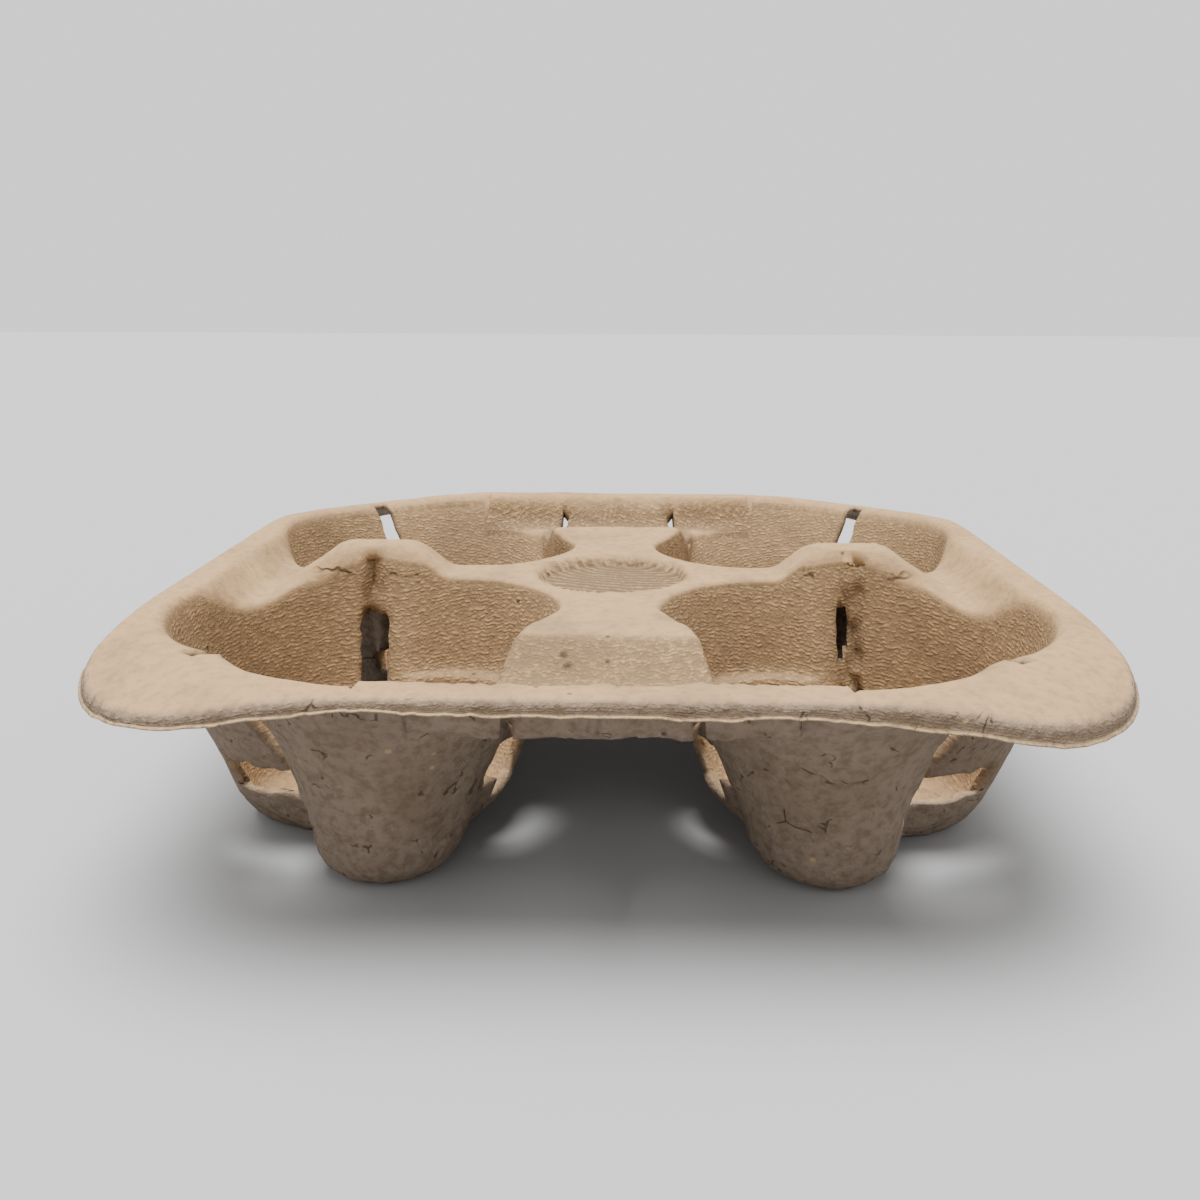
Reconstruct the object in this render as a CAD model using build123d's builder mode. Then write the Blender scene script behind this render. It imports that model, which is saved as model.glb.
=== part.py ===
"""Moulded-pulp carrier for four drinking cups, pressed in one piece.

The carrier is one thin shell, the gap between an upper and a lower mould form.
A rim with drooping corners and a turned-down lip surrounds a flat hub.  Two side
arms with humps and two wedge-shaped end arms run from the hub to the rim.  Between
them sit four cup pockets.  Each pocket is three leaning lobes run together round a
well, and slots in the cusps between the lobes let the petals spread round a cup.

Frame: origin on the floor under the hub, +X to the right, +Y to the back, +Z up.
Pockets are drawn in the +X +Y quarter and mirrored to the other three.
"""

import os
from math import hypot, radians, tan

from build123d import *

# Shell
wall = 2.4

# Rim: outline, height over the hub, drooping corners, lip and its trimmed flash
tray_width = 215.0
tray_depth = 215.0
rim_corner_radius = 38.0
rim_rise = 3.5
droop_width = 26.3
droop_radius = 42.0
shoulder_radius = 3.0
lip_drop = 3.8
bead_width = 1.4
bead_height = 1.4

# Hub with its round recess
hub_height = 52.0
recess_radius = 20.3
recess_depth = 2.2

# Side arms, from the rim inwards: flange, wall, ledge and slope up to the hub level
side_flange = 9.0
side_wall_run = 6.0
side_ledge = 4.5
side_slope_run = 8.0
side_valley_drop = 4.0

# End arms, from the rim inwards: flange, wall, valley floor and slope up to the hub level
end_flange = 10.0
end_wall_run = 5.0
end_valley_length = 22.5
end_slope_run = 12.0
end_valley_drop = 6.5
arm_bend_radius = 4.0

# Pocket lobes at the mouth: places in from the tray's sides, or out from its middle, and inner radii
mouth_rise = 3.0
side_lobe_inset = 43.3
side_lobe_y = 41.7
side_lobe_radius = 37.3
end_lobe_x = 45.7
end_lobe_inset = 46.1
end_lobe_radius = 36.7
hub_lobe_x = 40.5
hub_lobe_y = 35.5
hub_lobe_radius = 29.8

# Pocket feet: how far each lobe leans on its way down, and its inner radius there
side_foot_lean_x = 10.0
side_foot_lean_y = -8.7
side_foot_radius = 14.2
end_foot_lean_x = 3.7
end_foot_lean_y = 1.2
end_foot_radius = 12.5
hub_knee_height = 28.0
hub_knee_radius = 22.2
hub_shank_radius = 20.2
hub_shank_shift_x = 1.8
hub_shank_shift_y = 1.4
hub_foot_lean_x = 4.4
hub_foot_lean_y = 3.7
hub_foot_radius = 10.3
foot_bevel_run = 4.0
foot_bevel_slope = 1.2

# Well between the lobes, which joins their feet in one floor
well_inset_x = 55.0
well_inset_y = 59.5
well_mouth_radius = 30.0
well_foot_radius = 16.0

# Humps on the side arms: section along the arm, then the roof section across it
hump_inset = 45.5
hump_rise = 8.0
hump_crest_half = 9.0
hump_inner_half = 18.0
hump_outer_half = 20.0
hump_depth = 8.0
ridge_rise = 10.0
roof_knee_rise = 4.0
roof_knee_half = 7.0
roof_eave_drop = 6.0
roof_eave_half = 13.0
hump_round = 6.0

# Wedge outline of the end arms, which widens from the neck to the rim
wedge_neck_length = 16.0
wedge_neck_spread = 7.2
wedge_rim_spread = 10.8
wedge_draft = 5.0

# Slots under the humps
hump_slot_width = 7.5
hump_slot_eave = 0.5
hump_slot_top_rise = 4.0
hump_slot_bottom = 18.0

# Slots at the corner cusps, with a notch in the flat above and a window at the foot
corner_slot_width = 4.6
corner_slot_inset = 25.0
corner_slot_depth = 32.0
corner_slot_bottom = 20.0
corner_window_width = 13.0
corner_window_shift = 4.0
corner_window_bottom = 15.5
corner_window_top = 23.5

# Slits beside the end arms, and the windows low in the cusps next to them
end_slit_width = 2.8
end_slit_start = 3.0
end_slit_overrun = 2.5
end_slit_outset = 5.8
end_slit_inset = 0.7
end_window_inset = 20.7
end_window_width = 8.0
end_window_depth = 16.0
end_window_bottom = 15.0
end_window_top = 32.0

# Heights and places that follow from the sizes above
half_width = tray_width / 2
half_depth = tray_depth / 2
rim_height = hub_height + rim_rise
mouth_height = hub_height + mouth_rise
hump_height = hub_height + hump_rise
block_top = hub_height + ridge_rise + wall
corner_tip = hypot(half_width - rim_corner_radius, half_depth - rim_corner_radius) + rim_corner_radius
droop_start = corner_tip - droop_width
side_lobe_x = half_width - side_lobe_inset
end_lobe_y = half_depth - end_lobe_inset
hump_centre = half_width - hump_inset
hub_lobe_slope = (hub_lobe_radius - hub_knee_radius) / (mouth_height - hub_knee_height)
neck_half = hub_lobe_x - hub_lobe_radius + hub_lobe_slope * mouth_rise
wedge_bend_distance = hub_lobe_y + wedge_neck_length
wedge_bend_half = neck_half + wedge_neck_spread


def rim_outline(inset):
    """Rounded rectangle of the lip's outer face, moved inwards by inset."""
    across = tray_width - 2 * bead_width - 2 * inset
    along = tray_depth - 2 * bead_width - 2 * inset
    RectangleRounded(across, along, rim_corner_radius - inset)


def droop_form(drop):
    """Solid of revolution under the rim's face, moved downwards by drop."""
    top = rim_height - drop
    with BuildPart() as form:
        with BuildSketch(Plane.XZ):
            with BuildLine():
                brow = Line((0, top), (droop_start, top))
                bend = JernArc(brow @ 1, brow % 1, droop_radius - drop, -60)
                Polyline(bend @ 1, ((bend @ 1).X, 0), (0, 0), brow @ 0)
            make_face()
        revolve(axis=Axis.Z)
    return form.part


def arm_cut(plane, half_length, flange, wall_run, ledge, slope_run, drop, reach, inset):
    """Space above a pair of arms: their long section swept sideways by reach."""
    wall_top = half_length - flange
    valley_end = wall_top - wall_run
    valley_start = valley_end - ledge
    level_end = valley_start - slope_run
    valley_height = hub_height - drop
    with BuildPart() as cut:
        with BuildSketch(plane):
            with BuildLine():
                FilletPolyline(
                    (0, hub_height),
                    (level_end, hub_height),
                    (valley_start, valley_height),
                    (valley_end, valley_height),
                    (wall_top, rim_height),
                    radius=arm_bend_radius,
                )
                Polyline(
                    (wall_top, rim_height),
                    (wall_top, block_top),
                    (0, block_top),
                    (0, hub_height),
                )
            make_face()
            mirror(about=Plane.YZ)
            offset(amount=inset, kind=Kind.INTERSECTION)
        extrude(amount=reach, both=True)
    return cut.part


def side_arm_cut(inset):
    """Space above the two side arms, open at both ends into the pockets."""
    return arm_cut(
        Plane.XZ,
        half_width,
        side_flange,
        side_wall_run,
        side_ledge,
        side_slope_run,
        side_valley_drop,
        side_lobe_y,
        inset,
    )


def end_arm_cut(inset):
    """Space above the two end arms, open at both ends into the pockets."""
    return arm_cut(
        Plane.YZ,
        half_depth,
        end_flange,
        end_wall_run,
        end_valley_length,
        end_slope_run,
        end_valley_drop,
        end_lobe_x,
        inset,
    )


def hump_form(inset):
    """Humps of both side arms: a long section met by a roof section across it."""
    start = hump_centre - hump_inner_half
    end = hump_centre + hump_outer_half
    root = hub_height - hump_depth
    eave = hub_height - roof_eave_drop
    knee = hub_height + roof_knee_rise
    with BuildPart() as hump:
        with BuildSketch(Plane.XZ):
            with BuildLine():
                FilletPolyline(
                    (start, hub_height),
                    (hump_centre - hump_crest_half, hump_height),
                    (hump_centre + hump_crest_half, hump_height),
                    (end, hub_height),
                    radius=hump_round,
                )
                Polyline((end, hub_height), (end, root), (start, root), (start, hub_height))
            make_face()
            offset(amount=-inset, kind=Kind.INTERSECTION)
            mirror(about=Plane.YZ)
        extrude(amount=roof_eave_half, both=True)
        with BuildSketch(Plane.YZ):
            with BuildLine():
                FilletPolyline(
                    (roof_eave_half, eave),
                    (roof_knee_half, knee),
                    (0, hub_height + ridge_rise),
                    (-roof_knee_half, knee),
                    (-roof_eave_half, eave),
                    radius=hump_round,
                )
                Line((-roof_eave_half, eave), (roof_eave_half, eave))
            make_face()
            offset(amount=-inset, kind=Kind.INTERSECTION)
        extrude(amount=end, both=True, mode=Mode.INTERSECT)
    return hump.part


def deck_form(inset, shoulder):
    """Block under the deck's face, moved inwards by inset and rounded off at the rim by shoulder."""
    with BuildPart() as deck:
        with BuildSketch():
            rim_outline(inset)
        extrude(amount=block_top)
        add(droop_form(inset), mode=Mode.INTERSECT)
        crown = deck.faces().filter_by(lambda face: face.normal_at(face.center()).Z > 0.5)
        sides = deck.faces().filter_by(lambda face: abs(face.normal_at(face.center()).Z) < 0.01)
        side_edges = sides.edges()
        if shoulder:
            fillet(crown.edges().filter_by(lambda edge: edge in side_edges), shoulder)
        add(side_arm_cut(inset), mode=Mode.SUBTRACT)
        add(end_arm_cut(inset), mode=Mode.SUBTRACT)
        add(hump_form(inset))
        recess_rim = recess_radius + inset * tan(radians(45 / 2))
        with Locations((0, 0, hub_height - inset - recess_depth / 2)):
            Cone(recess_rim - recess_depth, recess_rim, recess_depth, mode=Mode.SUBTRACT)
    return deck.part


def lobe(foot, foot_radius, mouth, mouth_radius, top, clearance):
    """One lobe of a pocket: a cone round a leaning axis, grown outwards by clearance.

    It is cut level at the floor and at its top, and bevelled off round the foot.
    """
    axis = Vector(*mouth) - Vector(*foot)
    slope = (mouth_radius - foot_radius) / axis.length
    growth = clearance * hypot(1, slope)
    apex = Vector(*foot) - axis.normalized() * ((foot_radius + growth) / slope)
    length = 2 * (block_top - apex.Z)
    bottom = foot[2] - clearance
    foot_edge = foot_radius + growth - foot_bevel_run
    with BuildPart() as plug:
        with Locations(Plane(apex, z_dir=axis)):
            Cone(0, slope * length, length, align=(Align.CENTER, Align.CENTER, Align.MIN))
        with Locations((foot[0], foot[1], bottom)):
            Cone(
                foot_edge,
                foot_edge + foot_bevel_slope * (top - bottom),
                top - bottom,
                align=(Align.CENTER, Align.CENTER, Align.MIN),
                mode=Mode.INTERSECT,
            )
    return plug.part


def side_lobe(clearance):
    """Lobe next to the side rim, whose foot leans outwards along the side arm."""
    foot = (side_lobe_x + side_foot_lean_x, side_lobe_y + side_foot_lean_y, wall)
    mouth = (side_lobe_x, side_lobe_y, mouth_height)
    return lobe(foot, side_foot_radius, mouth, side_lobe_radius, block_top, clearance)


def end_lobe(clearance):
    """Lobe next to the end rim."""
    foot = (end_lobe_x + end_foot_lean_x, end_lobe_y + end_foot_lean_y, wall)
    mouth = (end_lobe_x, end_lobe_y, mouth_height)
    return lobe(foot, end_foot_radius, mouth, end_lobe_radius, block_top, clearance)


def hub_lobe(clearance):
    """Lobe next to the hub: an upright petal on a leaning shank, with a ledge between them."""
    shank_x = hub_lobe_x + hub_shank_shift_x
    shank_y = hub_lobe_y + hub_shank_shift_y
    foot = (shank_x + hub_foot_lean_x, shank_y + hub_foot_lean_y, wall)
    shank = (shank_x, shank_y, hub_knee_height)
    growth = clearance * hypot(1, hub_lobe_slope)
    knee = hub_knee_height - clearance
    knee_radius = hub_knee_radius - hub_lobe_slope * clearance + growth
    top_radius = knee_radius + hub_lobe_slope * (block_top - knee)
    with BuildPart() as petal:
        add(lobe(foot, hub_foot_radius, shank, hub_shank_radius, hub_knee_height, clearance))
        with Locations((hub_lobe_x, hub_lobe_y, knee)):
            Cone(knee_radius, top_radius, block_top - knee, align=(Align.CENTER, Align.CENTER, Align.MIN))
    return petal.part


def well(clearance):
    """Upright cone between the lobes."""
    well_x = half_width - well_inset_x
    well_y = half_depth - well_inset_y
    foot = (well_x, well_y, wall)
    mouth = (well_x, well_y, mouth_height)
    return lobe(foot, well_foot_radius, mouth, well_mouth_radius, block_top, clearance)


def wedge_form(inset):
    """Tapering body under both end arms, which the pockets leave standing."""
    with BuildPart() as wedge:
        with BuildSketch(Plane.XY.offset(hub_height)) as outline:
            with BuildLine():
                Polyline(
                    (0, 0),
                    (neck_half, hub_lobe_y),
                    (wedge_bend_half, wedge_bend_distance),
                    (wedge_bend_half + wedge_rim_spread, half_depth),
                    (0, half_depth),
                    close=True,
                )
            make_face()
            mirror(about=Plane.YZ)
            offset(amount=-inset, kind=Kind.INTERSECTION)
        extrude(amount=block_top - hub_height, taper=wedge_draft)
        extrude(outline.sketch, amount=-hub_height, taper=-wedge_draft)
    return wedge.part


def pocket_form(clearance):
    """Space of all four pockets, grown outwards by clearance."""
    with BuildPart() as pockets:
        add(side_lobe(clearance))
        add(end_lobe(clearance))
        add(hub_lobe(clearance))
        add(well(clearance))
        add(wedge_form(clearance), mode=Mode.SUBTRACT)
        mirror(about=Plane.XZ)
        mirror(about=Plane.YZ)
    return pockets.part


def mould_form(inset, shoulder):
    """One mould half: the deck's block with the four pockets sunk in it."""
    with BuildPart() as form:
        add(deck_form(inset, shoulder))
        add(pocket_form(inset), mode=Mode.SUBTRACT)
    return form.part


def lip_waste():
    """Skirt under the lip, which is trimmed away."""
    with BuildPart() as waste:
        add(droop_form(lip_drop))
        with BuildSketch():
            rim_outline(wall)
        extrude(amount=block_top, mode=Mode.SUBTRACT)
    return waste.part


def lip_bead():
    """Flash left by the trimming, a thin bead that stands out along the lip's edge."""
    with BuildPart() as bead:
        with BuildSketch():
            rim_outline(-bead_width)
        extrude(amount=block_top)
        with BuildSketch():
            rim_outline(wall / 2)
        extrude(amount=block_top, mode=Mode.SUBTRACT)
        add(droop_form(lip_drop - bead_height), mode=Mode.INTERSECT)
        add(droop_form(lip_drop), mode=Mode.SUBTRACT)
    return bead.part


def hump_slot():
    """Upright slot through the pocket wall under a hump."""
    start = roof_knee_half + hump_slot_eave
    with BuildPart() as slot:
        with BuildSketch(Plane.XY.offset(hump_slot_bottom)):
            with Locations((hump_centre, start)):
                Rectangle(hump_slot_width, hub_lobe_y - start, align=(Align.CENTER, Align.MIN))
        extrude(amount=hub_height + hump_slot_top_rise - hump_slot_bottom)
    return slot.part


def corner_slot():
    """Notch in the corner flat, the slot below it and the window at its foot."""
    corner = Location((half_width - corner_slot_inset, half_depth - corner_slot_inset, 0), (0, 0, 45))
    with BuildPart() as slot:
        with Locations(corner):
            with Locations((0, 0, corner_slot_bottom)):
                Box(
                    corner_slot_depth,
                    corner_slot_width,
                    block_top - corner_slot_bottom,
                    align=(Align.MAX, Align.CENTER, Align.MIN),
                )
            with Locations((0, -corner_window_shift, corner_window_bottom)):
                Box(
                    corner_slot_depth,
                    corner_window_width,
                    corner_window_top - corner_window_bottom,
                    align=(Align.MAX, Align.CENTER, Align.MIN),
                )
    return slot.part


def end_slot():
    """Slit along the edge of an end arm, and the window low in the cusp beside it."""
    valley_end = half_depth - end_flange - end_wall_run
    valley_start = valley_end - end_valley_length
    plate = hub_height - end_valley_drop
    with BuildPart() as slot:
        with BuildSketch(Plane.XY.offset(plate - 2 * wall)):
            with BuildLine():
                Line(
                    (wedge_bend_half + end_slit_outset, valley_start + end_slit_start),
                    (wedge_bend_half - end_slit_inset, valley_end + end_slit_overrun),
                )
            trace(line_width=end_slit_width)
        extrude(amount=4 * wall)
        with BuildSketch(Plane.XY.offset(end_window_bottom)):
            with Locations((end_lobe_x - end_window_inset, (hub_lobe_y + end_lobe_y) / 2)):
                Rectangle(end_window_depth, end_window_width)
        extrude(amount=end_window_top - end_window_bottom)
    return slot.part


with BuildPart() as slots:
    add(hump_slot())
    add(corner_slot())
    add(end_slot())
    mirror(about=Plane.XZ)
    mirror(about=Plane.YZ)

with BuildPart() as carrier:
    add(mould_form(0, shoulder_radius))
    add(mould_form(wall, 0), mode=Mode.SUBTRACT)
    add(lip_waste(), mode=Mode.SUBTRACT)
    add(lip_bead())
    add(slots.part, mode=Mode.SUBTRACT)

carrier.part.label = "carrier"
os.makedirs("parts", exist_ok=True)
export_step(carrier.part, "parts/carrier.step")
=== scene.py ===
# %% [markdown]
# # A moulded-pulp carrier for four cups
#
# The real thing is one sheet of wet paper fibre, sucked onto a wire-covered mould and
# dried.  It has no seams and no fasteners, so the whole lesson is about one surface:
# its shape, its torn slots, and the look of pressed fibre.  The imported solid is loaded
# first, because everything drawn here has to sit in the same frame as that solid.

import bpy
import numpy as np
from mathutils import Matrix, Vector


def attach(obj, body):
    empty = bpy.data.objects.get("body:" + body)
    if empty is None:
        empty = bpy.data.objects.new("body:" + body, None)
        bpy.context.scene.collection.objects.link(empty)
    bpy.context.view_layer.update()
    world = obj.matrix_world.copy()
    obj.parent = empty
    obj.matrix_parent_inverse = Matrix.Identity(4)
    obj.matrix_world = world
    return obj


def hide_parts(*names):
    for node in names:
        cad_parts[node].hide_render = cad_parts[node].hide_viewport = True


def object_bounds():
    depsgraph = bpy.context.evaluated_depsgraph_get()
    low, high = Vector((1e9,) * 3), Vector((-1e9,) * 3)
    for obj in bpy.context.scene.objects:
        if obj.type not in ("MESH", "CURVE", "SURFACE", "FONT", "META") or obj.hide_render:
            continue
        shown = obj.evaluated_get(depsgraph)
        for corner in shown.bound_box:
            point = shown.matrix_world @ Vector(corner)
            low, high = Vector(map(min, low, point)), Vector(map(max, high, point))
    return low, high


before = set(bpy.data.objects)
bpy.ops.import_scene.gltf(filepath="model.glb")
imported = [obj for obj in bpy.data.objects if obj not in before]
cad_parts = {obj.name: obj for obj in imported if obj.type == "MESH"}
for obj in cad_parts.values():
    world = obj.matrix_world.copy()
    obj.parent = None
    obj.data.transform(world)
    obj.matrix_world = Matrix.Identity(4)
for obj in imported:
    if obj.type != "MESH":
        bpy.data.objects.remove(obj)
cad_low, cad_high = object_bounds()
MM = 0.001
print("carrier box in mm:", [round(v / MM, 1) for v in (*cad_low, *cad_high)])

# %% [markdown]
# ## Sizes
#
# The lengths below are the mould's own, in millimetres, in one quarter of the carrier.
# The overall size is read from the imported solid, so the drawn surface keeps to it.

# %% Sizes of the mould
HALF = cad_high.x / MM
WALL, END_GATHER = 2.4, 1.3

RIM_TOP = 55.5
DROOP_START, DROOP_RADIUS = 112.0, 44.0
BEAD, SHOULDER = 0.7, 2.0
RIM = HALF - BEAD - SHOULDER
CORNER = 38.0

HUB_TOP = 52.0
RECESS_RADIUS, RECESS_DEPTH = 20.3, 2.8

SIDE_ARM = np.array([[0, 52], [80, 52], [88, 48], [92.5, 48], [98.5, 55.5], [101, 66]], float)
END_ARM = np.array([[0, 52], [58, 52], [70, 45.5], [92.5, 45.5], [97.5, 55.5], [100, 66]], float)
ARM_HALF, ARM_FADE, ARM_CLEAR = 46.0, 6.0, 20.0
HUMP = np.array([[38, 46.7], [44, 52], [53, 60], [71, 60], [82, 52], [90, 46.2]], float)
ROOF = np.array([[0, 60.6], [3, 59.8], [7, 56], [13, 46], [16, 41]], float)

POCKET = np.array([49.0, 48.0])
LOBE_FOOT, LOBE_TOP, KNEE = 2.4, 55.0, 28.0
END_LOBE, END_FLARE = np.array([[48.5, 62.5, 13.5], [44.5, 61.0, 36.8]]), 4.5
SIDE_LOBE = np.array([[73.0, 34.0, 14.5], [61.0, 44.5, 38.2]])
HUB_SHANK = np.array([[44.0, 39.0, 16.5], [38.2, 34.5, 24.7]])
HUB_PETAL = np.array([[40.5, 35.5, 15.0], [40.5, 35.5, 29.8]])
WELL = np.array([[52.5, 48.0, 13.5], [52.5, 48.0, 29.0]])
WEDGE_LINES = ((18.7, 50.0, 0.45), (18.7, 50.0, 0.188))
WEDGE_DRAFT = np.tan(np.radians(5.0))
FOOT_ROUND = 8.0
MOUTH_ROUND, HUB_BEARING = (1.4, 3.6), 225.0
BACK_SAG = 1.3
ARC_RADIUS = 36.0
print("half width", round(HALF, 2), "mm, rim flat begins", round(RIM, 2), "mm from the middle")

# %% [markdown]
# ## Soft arithmetic
#
# Pulp has no sharp creases: the wet felt bridges every inside corner and thins over
# every outside one.  A smooth minimum and a smooth maximum give that rounding wherever
# two plain shapes meet.  Value noise, a random number at each point of a grid with a
# smooth blend between them, gives the unevenness of hand-sized to fibre-sized lumps.


# %% Soft arithmetic and noise
def soft_min(a, b, k):
    """Smaller of a and b, rounded where they are closer than k (cubic blend)."""
    h = np.clip(k - np.abs(a - b), 0, None) / k
    return np.minimum(a, b) - h**3 * k / 6


def soft_max(a, b, k):
    """Larger of a and b, rounded where they are closer than k."""
    return -soft_min(-a, -b, k)


def smooth_step(value, low, high):
    """0 below low, 1 above high, and 3t^2 - 2t^3 between."""
    t = np.clip((value - low) / (high - low), 0, 1)
    return t * t * (3 - 2 * t)


def lattice(ix, iy, iz, seed):
    """Pseudo-random number from -1 to 1 for each whole-number grid point."""
    n = ix * 73856093 ^ iy * 19349663 ^ iz * 83492791 ^ (seed * 2654435 + 12345)
    n = (n ^ (n >> 13)) * 1274126177 & 0x7FFFFFFF
    n = (n ^ (n >> 16)) * 668265263 & 0x7FFFFFFF
    return n / 0x3FFFFFFF - 1.0


def noise(x, y, z, size, seed):
    """Value noise: grid numbers of one cell size, blended by 3t^2 - 2t^3 along each axis."""
    p = np.stack(np.broadcast_arrays(x, y, z)) / size
    cell = np.floor(p).astype(np.int64)
    t = p - cell
    t = t * t * (3 - 2 * t)
    total = np.zeros(p.shape[1:])
    for corner in range(8):
        dx, dy, dz = corner & 1, corner >> 1 & 1, corner >> 2 & 1
        share_xy = np.where(dx, t[0], 1 - t[0]) * np.where(dy, t[1], 1 - t[1])
        share = share_xy * np.where(dz, t[2], 1 - t[2])
        total += share * lattice(cell[0] + dx, cell[1] + dy, cell[2] + dz, seed)
    return total


# %% [markdown]
# ## The deck
#
# Seen from above, the carrier is a height for every point: the rim, the two dips that
# run along the arms, the humps and the hub's round recess.  Each is a section drawn
# along one axis, and soft minimum and maximum put them together.


# %% Height of the deck
def rim_height(x, y):
    """Flat crown, then an arc that droops beyond DROOP_START from the middle."""
    out = np.clip(np.hypot(x, y) - DROOP_START, 0, DROOP_RADIUS * 0.95)
    return RIM_TOP - DROOP_RADIUS + np.sqrt(DROOP_RADIUS**2 - out**2)


def section(points, along, k):
    """Polyline height, softened by averaging five samples spread over plus and minus k."""
    offsets = np.linspace(-k, k, 5)
    return sum(np.interp(along + d, points[:, 0], points[:, 1]) for d in offsets) / len(offsets)


def deck_height(x, y):
    """Height of the upper face at a point of the quarter, pockets left out."""
    x, y = np.abs(x), np.abs(y)
    side = section(SIDE_ARM, x, 1.6) + ARM_CLEAR * np.clip((y - ARM_HALF) / ARM_FADE, 0, 1)
    end = section(END_ARM, y, 1.6) + ARM_CLEAR * np.clip((x - ARM_HALF) / ARM_FADE, 0, 1)
    z = soft_min(soft_min(rim_height(x, y), side, 2.0), end, 2.0)
    hump = soft_min(section(HUMP, x, 2.0), section(ROOF, y, 1.2), 3.0)
    z = soft_max(z, hump, 2.5)
    dish = smooth_step(np.hypot(x, y), RECESS_RADIUS, RECESS_RADIUS - 1.8)
    return z - RECESS_DEPTH * dish


def deck_under(x, y):
    """Height of the lower face: the upper one moved in by WALL, square to its slope.

    Under the end arms the felt is END_GATHER thicker.
    """
    step = 0.5
    slope_x = (deck_height(x + step, y) - deck_height(x - step, y)) / (2 * step)
    slope_y = (deck_height(x, y + step) - deck_height(x, y - step)) / (2 * step)
    steep = np.clip(slope_x**2 + slope_y**2, 0, 1.5)
    gathered = END_GATHER * np.exp(-(((np.abs(y) - 88) / 8) ** 2)) * smooth_step(np.abs(x), 30, 22)
    return deck_height(x, y) - WALL * np.sqrt(1 + steep) - gathered


places = np.array([[30.0, 0.0], [62.0, 0.0], [0.0, 80.0]])
print("deck height at hub, hump, valley:", np.round(deck_height(places[:, 0], places[:, 1]), 2))

# %% [markdown]
# ## The pockets
#
# Each pocket is three leaning cones run together round a well, with the end arm's wedge
# left standing in it.  A cone is a circle at its foot and one at its mouth, and the
# circles between are shares of both.  The end cone is drawn in a little at mid height.
# From the pocket's middle every wall is seen once, so the wall is a distance for each
# bearing and height.  That makes the whole quarter a grid of bearings and rows.


# %% Distance to the pocket wall
def circle_at(lobe, z, flare=0.0):
    """Middle and radius of a leaning lobe at a height: a share of its foot and its mouth.

    A flare f draws the radius in by 4 f s (1 - s) between them.
    """
    share = (z - LOBE_FOOT) / (LOBE_TOP - LOBE_FOOT)
    x, y, radius = (low + share * (high - low) for low, high in lobe.T)
    return x, y, radius - 4 * flare * share * (1 - share)


def hub_circle_at(z):
    """Middle and radius of the hub lobe: a leaning shank below the knee, a petal above it."""
    petal = smooth_step(z, KNEE - 0.5, KNEE + 0.5)
    return [a + petal * (b - a) for a, b in zip(circle_at(HUB_SHANK, z), circle_at(HUB_PETAL, z))]


def wall_distance(bearing, z, clearance):
    """Distance from the pocket's middle to its wall along a bearing in degrees.

    Longest way out of the lobes, as a soft maximum k log(sum exp(d / k)), then cut short
    by the wedge's two faces.
    """
    angle = np.radians(bearing)
    ray_x, ray_y = np.cos(angle), np.sin(angle)
    total = 0.0
    blend = 0.9
    circles = [circle_at(lobe, z) for lobe in (SIDE_LOBE, WELL)]
    circles += [circle_at(END_LOBE, z, END_FLARE), hub_circle_at(z)]
    for cx, cy, radius in circles:
        qx, qy = cx - POCKET[0], cy - POCKET[1]
        ahead = ray_x * qx + ray_y * qy
        inside = np.clip((radius + 1.08 * clearance) ** 2 - qx**2 - qy**2 + ahead**2, 0, None)
        total = total + np.exp((ahead + np.sqrt(inside)) / blend)
    reach = blend * np.log(total)
    wedge = np.full(np.broadcast(bearing, z).shape, -200.0)
    for x0, y0, lean in WEDGE_LINES:
        edge = x0 + (HUB_TOP - z) * WEDGE_DRAFT - clearance * np.hypot(1, lean)
        closing = lean * ray_y - ray_x
        gap = POCKET[0] - edge - lean * (POCKET[1] - y0)
        out = np.where(closing > 0.02, gap / np.clip(closing, 0.02, None), 200.0)
        wedge = np.maximum(wedge, out)
    return soft_min(reach, wedge, 1.2)


def from_pocket(bearing, distance):
    """Point of the quarter at a bearing and distance from the pocket's middle."""
    angle = np.radians(bearing)
    return POCKET[0] + distance * np.cos(angle), POCKET[1] + distance * np.sin(angle)


def mouth_of(bearing, clearance, height):
    """Height at which each bearing's wall meets the deck, by repeated substitution."""
    z = np.full(bearing.shape, HUB_TOP)
    for _ in range(60):
        x, y = from_pocket(bearing, wall_distance(bearing, z, clearance))
        z = 0.6 * z + 0.4 * height(x, y)
    return z


sample = np.array([0.0, 46.0, 90.0, 150.0, 225.0, 288.0])
reach = wall_distance(sample, mouth_of(sample, 0.0, deck_height), 0.0)
print("mouth distance at six bearings:", np.round(reach, 1))

# %% [markdown]
# ## The columns of the grid
#
# Slots and windows are cells left out of the grid, so their edges have to be columns.
# Each edge is a bearing that shifts with height, because the walls lean.  The knots
# below list the bearings at the mouth, and at any other height the columns between
# them stretch along.  On the outside, every column ends at a point of the quarter's
# border: up the right-hand rim, round the corner, along the back and in along the arms.

# %% Slot edges as bearings
START = np.degrees(np.arctan2(-POCKET[1], RIM - POCKET[0]))
HUMP_SLOT = (58.25, 65.75)
CORNER_BEARING, CORNER_SLOT, CORNER_WINDOW = 46.0, (-2.3, 2.3), (-13.5, 3.4)
END_WINDOW, LOWEST_SLOT = (-6.0, 7.5), 14.0
SLIT = (131.9, 136.9)
HUMP_SLOT_FOOT, CORNER_SLOT_FOOT = 18.0, 20.0
CORNER_WINDOW_SPAN, END_WINDOW_SPAN = (13.0, 23.5), (13.0, 25.0)
SLIT_ROWS = 8


def bearing_of(x, y):
    """Bearing of a point from the pocket's middle, counted upwards from START."""
    return START + (np.degrees(np.arctan2(y - POCKET[1], x - POCKET[0])) - START) % 360


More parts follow.
